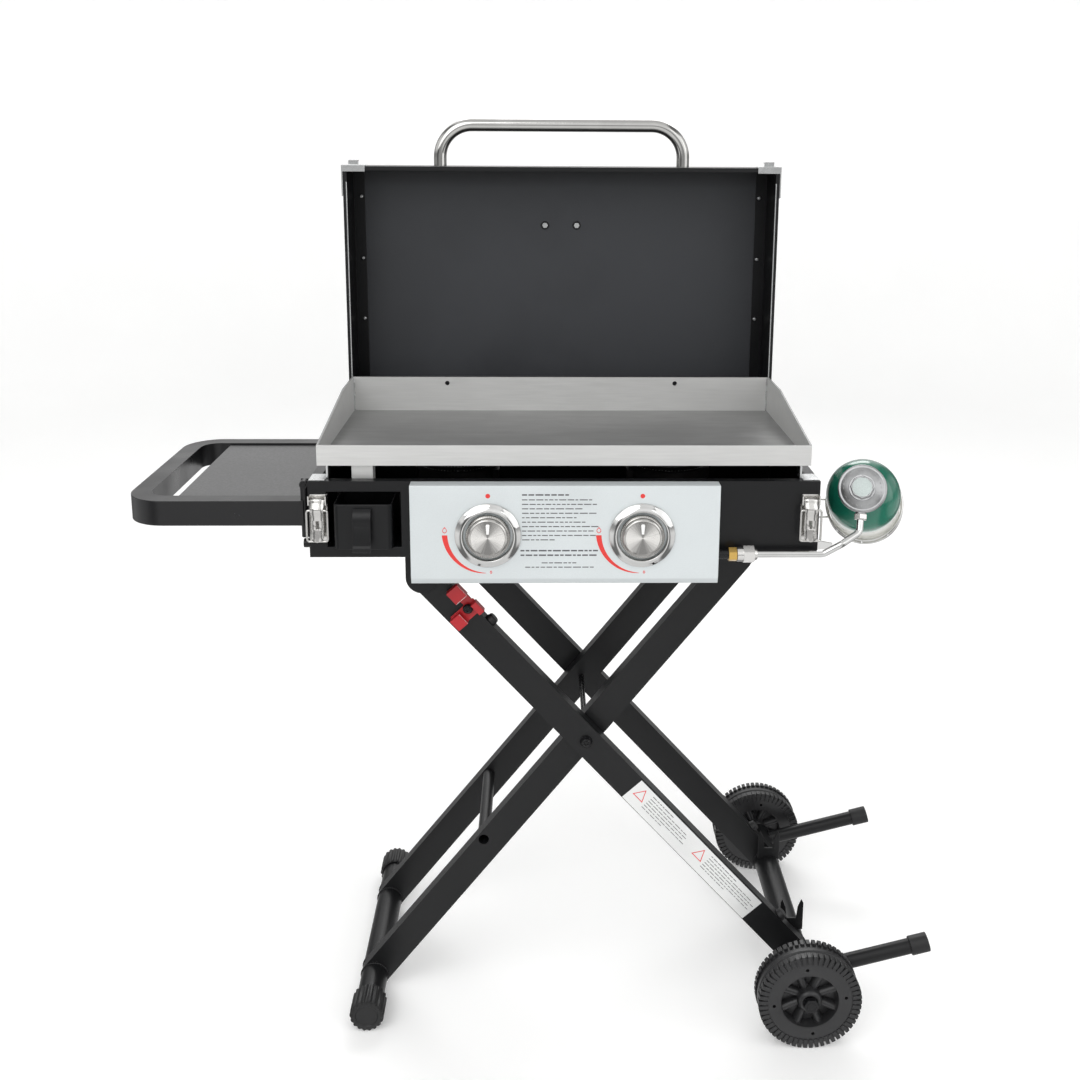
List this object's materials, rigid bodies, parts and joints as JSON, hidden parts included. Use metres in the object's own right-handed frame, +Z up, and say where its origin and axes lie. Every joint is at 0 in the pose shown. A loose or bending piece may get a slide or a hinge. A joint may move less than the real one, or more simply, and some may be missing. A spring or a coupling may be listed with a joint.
{
  "type": "folding camp grill",
  "caption": "Two-burner flat-top camp grill with a hinged lid, side shelf and gas cylinder on a folding scissor cart with wheels.",
  "frame": {"origin": "on the ground under the middle of the whole object's box at rest (cart open, lid open, shelf out)", "axes": "+X along the grill from the shelf to the gas cylinder, +Y from the control panel to the lid, +Z up"},
  "size_m": [1.0876, 0.502, 1.2515],
  "materials": {
    "frame_black": "satin black powder coat",
    "body_black": "fine textured black powder coat",
    "lid_black": "fine textured charcoal powder coat",
    "shelf_black": "satin black moulded nylon",
    "shelf_grey": "satin grey paint",
    "black_steel": "black oxide",
    "black_rubber": "matt",
    "wheel_plastic": "satin moulded black",
    "tread_plastic": "matt moulded black",
    "red_paint": "gloss red",
    "zinc_steel": "bright zinc plate",
    "latch_steel": "bright stamped steel",
    "polished_steel": "polished stainless steel",
    "bright_chrome": "polished chrome plate",
    "panel_silver": "fine silver paint",
    "knob_metal": "turned and knurled",
    "brass_metal": "machined",
    "nickel_plate": "bright nickel plate",
    "burner_iron": "dark pressed steel",
    "die_cast": "shot-blasted die casting",
    "green_paint": "gloss green enamel",
    "brushed_plate": "brushed stainless plate"
  },
  "bodies": {
    "outer_frame": {"outer_leg_front": "frame_black", "outer_leg_rear": "frame_black", "axle_tube": "frame_black", "axle_rod": "zinc_steel", "axle_nuts": "black_steel", "stand_tubes": "frame_black", "stand_caps": "black_rubber", "axle_forks": "frame_black", "frame_bolts": "black_steel", "leg_bumpers": "black_rubber"},
    "fold_catch_lever": {"fold_catch": "red_paint"},
    "front_wheel": {"wheel_front": "wheel_plastic", "tyre_front": "tread_plastic"},
    "rear_wheel": {"wheel_rear": "wheel_plastic", "tyre_rear": "tread_plastic"},
    "inner_frame": {"inner_leg_front": "frame_black", "inner_leg_rear": "frame_black", "inner_crossbar": "frame_black", "foot_tube": "frame_black", "foot_caps": "black_rubber", "saddle_pins": "black_steel"},
    "grill_body": {"firebox": "body_black", "control_panel": "panel_silver", "knob_bezels": "bright_chrome", "gas_valves": "brass_metal", "gas_manifold": "black_steel", "inlet_fitting": "brass_metal", "burner_left": "burner_iron", "burner_right": "burner_iron", "hub_brackets": "body_black", "saddle_brackets": "body_black", "corner_brackets": "zinc_steel", "latch_bases": "latch_steel", "shelf_mounts": "black_steel", "tank_cradle": "bright_chrome", "supply_pipe": "bright_chrome", "regulator": "die_cast", "hinge_arms": "body_black"},
    "union_nut_body": {"union_nut": "nickel_plate"},
    "cylinder": {"gas_cylinder": "green_paint"},
    "griddle": {"griddle_plate": "brushed_plate", "grease_chute": "brushed_plate"},
    "lid": {"lid_shell": "lid_black", "lid_sides": "body_black", "lid_rivets": "zinc_steel", "lid_handle": "polished_steel", "lid_catches": "zinc_steel", "badge_plate": "zinc_steel", "lid_hinge_ears": "body_black"},
    "side_shelf": {"shelf_frame": "shelf_black", "shelf_panel": "shelf_grey"},
    "left_latch": {"latch_lever_left": "latch_steel"},
    "right_latch": {"latch_lever_right": "latch_steel"},
    "left_bail": {"latch_bail_left": "latch_steel"},
    "right_bail": {"latch_bail_right": "latch_steel"},
    "left_stem": {"knob_stem_left": "zinc_steel"},
    "right_stem": {"knob_stem_right": "zinc_steel"},
    "left_knob": {"knob_left": "knob_metal"},
    "right_knob": {"knob_right": "knob_metal"},
    "cup": {"grease_cup": "body_black"}
  },
  "joints": [
    {"name": "cart_fold", "type": "hinge", "parent": "outer_frame", "child": "grill_body", "pos_m": [-0.166, -0.015, 0.65], "axis": [0, 1, 0], "range_deg": [0, 44]},
    {"name": "leg_scissor", "type": "hinge", "parent": "outer_frame", "child": "inner_frame", "pos_m": [0.05546, -0.015, 0.40669], "axis": [0, 1, 0], "range_deg": [0, 88]},
    {"name": "fold_catch_turn", "type": "hinge", "parent": "outer_frame", "child": "fold_catch_lever", "pos_m": [-0.10516, -0.146, 0.60396], "axis": [0, 1, 0], "range_deg": [-30, 0]},
    {"name": "front_wheel_spin", "type": "hinge", "parent": "outer_frame", "child": "front_wheel", "pos_m": [0.361, -0.224, 0.071], "axis": [0, 1, 0], "continuous": true},
    {"name": "rear_wheel_spin", "type": "hinge", "parent": "outer_frame", "child": "rear_wheel", "pos_m": [0.361, 0.194, 0.071], "axis": [0, 1, 0], "continuous": true},
    {"name": "union_nut_spin", "type": "hinge", "parent": "grill_body", "child": "union_nut_body", "pos_m": [0.258, -0.1955, 0.698], "axis": [1, 0, 0], "continuous": true},
    {"name": "cylinder_removal", "type": "slide", "parent": "grill_body", "child": "cylinder", "axis": [0.2679, 0.8763, -0.4003], "range_m": [0, 0.014]},
    {"name": "griddle_lift", "type": "slide", "parent": "grill_body", "child": "griddle", "axis": [0, 0, 1], "range_m": [0, 0.12]},
    {"name": "lid_hinge", "type": "hinge", "parent": "grill_body", "child": "lid", "pos_m": [0.0235, 0.178, 0.82], "axis": [-1, 0, 0], "range_deg": [-90, 0]},
    {"name": "shelf_fold", "type": "hinge", "parent": "grill_body", "child": "side_shelf", "pos_m": [-0.312, -0.015, 0.786], "axis": [0, 1, 0], "range_deg": [0, 90]},
    {"name": "left_latch_lever", "type": "hinge", "parent": "grill_body", "child": "left_latch", "pos_m": [-0.2927, -0.1905, 0.768], "axis": [-1, 0, 0], "range_deg": [0, 150]},
    {"name": "left_latch_bail", "type": "hinge", "parent": "left_latch", "child": "left_bail", "pos_m": [-0.2927, -0.1962, 0.757], "axis": [1, 0, 0], "range_deg": [-180, 0]},
    {"name": "left_knob_push", "type": "slide", "parent": "grill_body", "child": "left_stem", "axis": [0, 1, 0], "range_m": [0, 0.003], "stiffness_N_per_m": 900},
    {"name": "left_knob_turn", "type": "hinge", "parent": "left_stem", "child": "left_knob", "pos_m": [-0.0748, -0.2125, 0.7265], "axis": [0, -1, 0], "range_deg": [0, 180]},
    {"name": "right_latch_lever", "type": "hinge", "parent": "grill_body", "child": "right_latch", "pos_m": [0.3397, -0.1905, 0.768], "axis": [-1, 0, 0], "range_deg": [0, 150]},
    {"name": "right_latch_bail", "type": "hinge", "parent": "right_latch", "child": "right_bail", "pos_m": [0.3397, -0.1962, 0.757], "axis": [1, 0, 0], "range_deg": [-180, 0]},
    {"name": "right_knob_push", "type": "slide", "parent": "grill_body", "child": "right_stem", "axis": [0, 1, 0], "range_m": [0, 0.003], "stiffness_N_per_m": 900},
    {"name": "right_knob_turn", "type": "hinge", "parent": "right_stem", "child": "right_knob", "pos_m": [0.1218, -0.2125, 0.7265], "axis": [0, -1, 0], "range_deg": [0, 180]},
    {"name": "cup_slide", "type": "slide", "parent": "grill_body", "child": "cup", "axis": [0, -1, 0], "range_m": [0, 0.085]}
  ],
  "couplings": [
    {"joint": "leg_scissor", "follows": "cart_fold", "ratio": 2}
  ]
}
